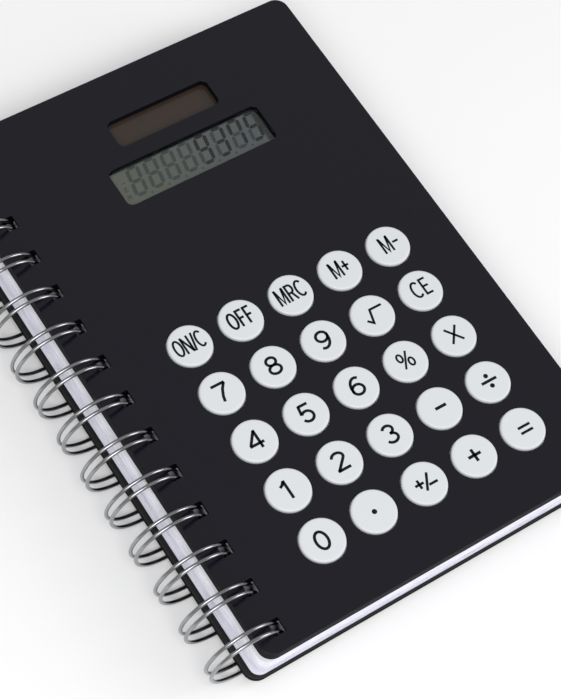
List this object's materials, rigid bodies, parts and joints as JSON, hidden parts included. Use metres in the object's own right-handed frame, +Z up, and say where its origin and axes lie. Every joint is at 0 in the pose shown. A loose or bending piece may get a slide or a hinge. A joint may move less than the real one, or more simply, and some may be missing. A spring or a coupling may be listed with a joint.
{
  "type": "notebook calculator",
  "caption": "Wire-bound notebook whose stiff black front cover holds a solar pocket calculator: round white sprung keys, a recessed display and a solar window.",
  "frame": {"origin": "centre of the bounding box's bottom face, on the surface under the binding loops", "axes": "+Z up, out of the front cover; +X from the spine to the fore-edge; +Y from the keypad to the display, along the binding axis"},
  "size_m": [0.1328, 0.178, 0.0233],
  "materials": {
    "black_abs": "satin black moulded ABS",
    "black_board": "black laminated board",
    "paper": "white uncoated paper",
    "nickel_plated_steel": "bright nickel-plated steel wire",
    "white_key": "satin white moulded plastic with printed legends",
    "black_polystyrene": "fine-textured black polystyrene",
    "clear_acrylic": "clear acrylic",
    "grey_silicone": "matt silicone rubber",
    "green_laminate": "solder-masked glass-epoxy laminate",
    "display_glass": "polarised glass with a reflector",
    "ribbon_film": "printed polyester film",
    "amorphous_silicon": "silicon film on glass",
    "lead_insulation": "coloured insulation",
    "cell_steel": "nickel-plated steel can",
    "contact_strip": "nickel-plated brass strip",
    "black_resin": "black epoxy resin",
    "capacitor_ceramic": "tan ceramic",
    "screw_steel": "black-zinc screw steel"
  },
  "bodies": {
    "back": {"back_cover": "black_board", "binding_wire": "nickel_plated_steel"},
    "lower_pages": {"lower_pages": "paper"},
    "upper_pages": {"upper_pages": "paper"},
    "front_cover": {"cover_shell": "black_abs", "cover_back_plate": "black_polystyrene", "display_lens": "clear_acrylic", "battery_door": "black_polystyrene", "plate_screw_1": "screw_steel", "plate_screw_2": "screw_steel", "plate_screw_3": "screw_steel", "plate_screw_4": "screw_steel", "door_screw": "screw_steel", "keypad_mat": "grey_silicone", "circuit_board": "green_laminate", "lcd_rear_glass": "display_glass", "lcd_front_glass": "display_glass", "lcd_ribbon": "ribbon_film", "solar_cell": "amorphous_silicon", "solar_lead_positive": "lead_insulation", "solar_lead_negative": "lead_insulation", "button_cell": "cell_steel", "negative_contact": "contact_strip", "positive_contact": "contact_strip", "processor_chip": "black_resin", "supply_capacitor": "capacitor_ceramic"},
    "key_on_c": {"key_on_c": "white_key"},
    "key_off": {"key_off": "white_key"},
    "key_mrc": {"key_mrc": "white_key"},
    "key_m_plus": {"key_m_plus": "white_key"},
    "key_m_minus": {"key_m_minus": "white_key"},
    "key_7": {"key_7": "white_key"},
    "key_8": {"key_8": "white_key"},
    "key_9": {"key_9": "white_key"},
    "key_root": {"key_root": "white_key"},
    "key_ce": {"key_ce": "white_key"},
    "key_4": {"key_4": "white_key"},
    "key_5": {"key_5": "white_key"},
    "key_6": {"key_6": "white_key"},
    "key_percent": {"key_percent": "white_key"},
    "key_times": {"key_times": "white_key"},
    "key_1": {"key_1": "white_key"},
    "key_2": {"key_2": "white_key"},
    "key_3": {"key_3": "white_key"},
    "key_minus": {"key_minus": "white_key"},
    "key_divide": {"key_divide": "white_key"},
    "key_0": {"key_0": "white_key"},
    "key_point": {"key_point": "white_key"},
    "key_sign": {"key_sign": "white_key"},
    "key_plus": {"key_plus": "white_key"},
    "key_equals": {"key_equals": "white_key"}
  },
  "joints": [
    {"name": "lower_pages_turn", "type": "hinge", "parent": "back", "child": "lower_pages", "pos_m": [-0.05473, 0, 0.01165], "axis": [0, -1, 0], "range_deg": [0, 180]},
    {"name": "upper_pages_turn", "type": "hinge", "parent": "lower_pages", "child": "upper_pages", "pos_m": [-0.05473, 0, 0.01165], "axis": [0, -1, 0], "range_deg": [0, 180]},
    {"name": "front_cover_turn", "type": "hinge", "parent": "upper_pages", "child": "front_cover", "pos_m": [-0.05473, 0, 0.01165], "axis": [0, -1, 0], "range_deg": [0, 180]},
    {"name": "key_on_c_press", "type": "slide", "parent": "front_cover", "child": "key_on_c", "axis": [0, 0, -1], "range_m": [0, 0.0007], "stiffness_N_per_m": 500, "springref_m": -0.0004},
    {"name": "key_off_press", "type": "slide", "parent": "front_cover", "child": "key_off", "axis": [0, 0, -1], "range_m": [0, 0.0007], "stiffness_N_per_m": 500, "springref_m": -0.0004},
    {"name": "key_mrc_press", "type": "slide", "parent": "front_cover", "child": "key_mrc", "axis": [0, 0, -1], "range_m": [0, 0.0007], "stiffness_N_per_m": 500, "springref_m": -0.0004},
    {"name": "key_m_plus_press", "type": "slide", "parent": "front_cover", "child": "key_m_plus", "axis": [0, 0, -1], "range_m": [0, 0.0007], "stiffness_N_per_m": 500, "springref_m": -0.0004},
    {"name": "key_m_minus_press", "type": "slide", "parent": "front_cover", "child": "key_m_minus", "axis": [0, 0, -1], "range_m": [0, 0.0007], "stiffness_N_per_m": 500, "springref_m": -0.0004},
    {"name": "key_7_press", "type": "slide", "parent": "front_cover", "child": "key_7", "axis": [0, 0, -1], "range_m": [0, 0.0007], "stiffness_N_per_m": 500, "springref_m": -0.0004},
    {"name": "key_8_press", "type": "slide", "parent": "front_cover", "child": "key_8", "axis": [0, 0, -1], "range_m": [0, 0.0007], "stiffness_N_per_m": 500, "springref_m": -0.0004},
    {"name": "key_9_press", "type": "slide", "parent": "front_cover", "child": "key_9", "axis": [0, 0, -1], "range_m": [0, 0.0007], "stiffness_N_per_m": 500, "springref_m": -0.0004},
    {"name": "key_root_press", "type": "slide", "parent": "front_cover", "child": "key_root", "axis": [0, 0, -1], "range_m": [0, 0.0007], "stiffness_N_per_m": 500, "springref_m": -0.0004},
    {"name": "key_ce_press", "type": "slide", "parent": "front_cover", "child": "key_ce", "axis": [0, 0, -1], "range_m": [0, 0.0007], "stiffness_N_per_m": 500, "springref_m": -0.0004},
    {"name": "key_4_press", "type": "slide", "parent": "front_cover", "child": "key_4", "axis": [0, 0, -1], "range_m": [0, 0.0007], "stiffness_N_per_m": 500, "springref_m": -0.0004},
    {"name": "key_5_press", "type": "slide", "parent": "front_cover", "child": "key_5", "axis": [0, 0, -1], "range_m": [0, 0.0007], "stiffness_N_per_m": 500, "springref_m": -0.0004},
    {"name": "key_6_press", "type": "slide", "parent": "front_cover", "child": "key_6", "axis": [0, 0, -1], "range_m": [0, 0.0007], "stiffness_N_per_m": 500, "springref_m": -0.0004},
    {"name": "key_percent_press", "type": "slide", "parent": "front_cover", "child": "key_percent", "axis": [0, 0, -1], "range_m": [0, 0.0007], "stiffness_N_per_m": 500, "springref_m": -0.0004},
    {"name": "key_times_press", "type": "slide", "parent": "front_cover", "child": "key_times", "axis": [0, 0, -1], "range_m": [0, 0.0007], "stiffness_N_per_m": 500, "springref_m": -0.0004},
    {"name": "key_1_press", "type": "slide", "parent": "front_cover", "child": "key_1", "axis": [0, 0, -1], "range_m": [0, 0.0007], "stiffness_N_per_m": 500, "springref_m": -0.0004},
    {"name": "key_2_press", "type": "slide", "parent": "front_cover", "child": "key_2", "axis": [0, 0, -1], "range_m": [0, 0.0007], "stiffness_N_per_m": 500, "springref_m": -0.0004},
    {"name": "key_3_press", "type": "slide", "parent": "front_cover", "child": "key_3", "axis": [0, 0, -1], "range_m": [0, 0.0007], "stiffness_N_per_m": 500, "springref_m": -0.0004},
    {"name": "key_minus_press", "type": "slide", "parent": "front_cover", "child": "key_minus", "axis": [0, 0, -1], "range_m": [0, 0.0007], "stiffness_N_per_m": 500, "springref_m": -0.0004},
    {"name": "key_divide_press", "type": "slide", "parent": "front_cover", "child": "key_divide", "axis": [0, 0, -1], "range_m": [0, 0.0007], "stiffness_N_per_m": 500, "springref_m": -0.0004},
    {"name": "key_0_press", "type": "slide", "parent": "front_cover", "child": "key_0", "axis": [0, 0, -1], "range_m": [0, 0.0007], "stiffness_N_per_m": 500, "springref_m": -0.0004},
    {"name": "key_point_press", "type": "slide", "parent": "front_cover", "child": "key_point", "axis": [0, 0, -1], "range_m": [0, 0.0007], "stiffness_N_per_m": 500, "springref_m": -0.0004},
    {"name": "key_sign_press", "type": "slide", "parent": "front_cover", "child": "key_sign", "axis": [0, 0, -1], "range_m": [0, 0.0007], "stiffness_N_per_m": 500, "springref_m": -0.0004},
    {"name": "key_plus_press", "type": "slide", "parent": "front_cover", "child": "key_plus", "axis": [0, 0, -1], "range_m": [0, 0.0007], "stiffness_N_per_m": 500, "springref_m": -0.0004},
    {"name": "key_equals_press", "type": "slide", "parent": "front_cover", "child": "key_equals", "axis": [0, 0, -1], "range_m": [0, 0.0007], "stiffness_N_per_m": 500, "springref_m": -0.0004}
  ]
}
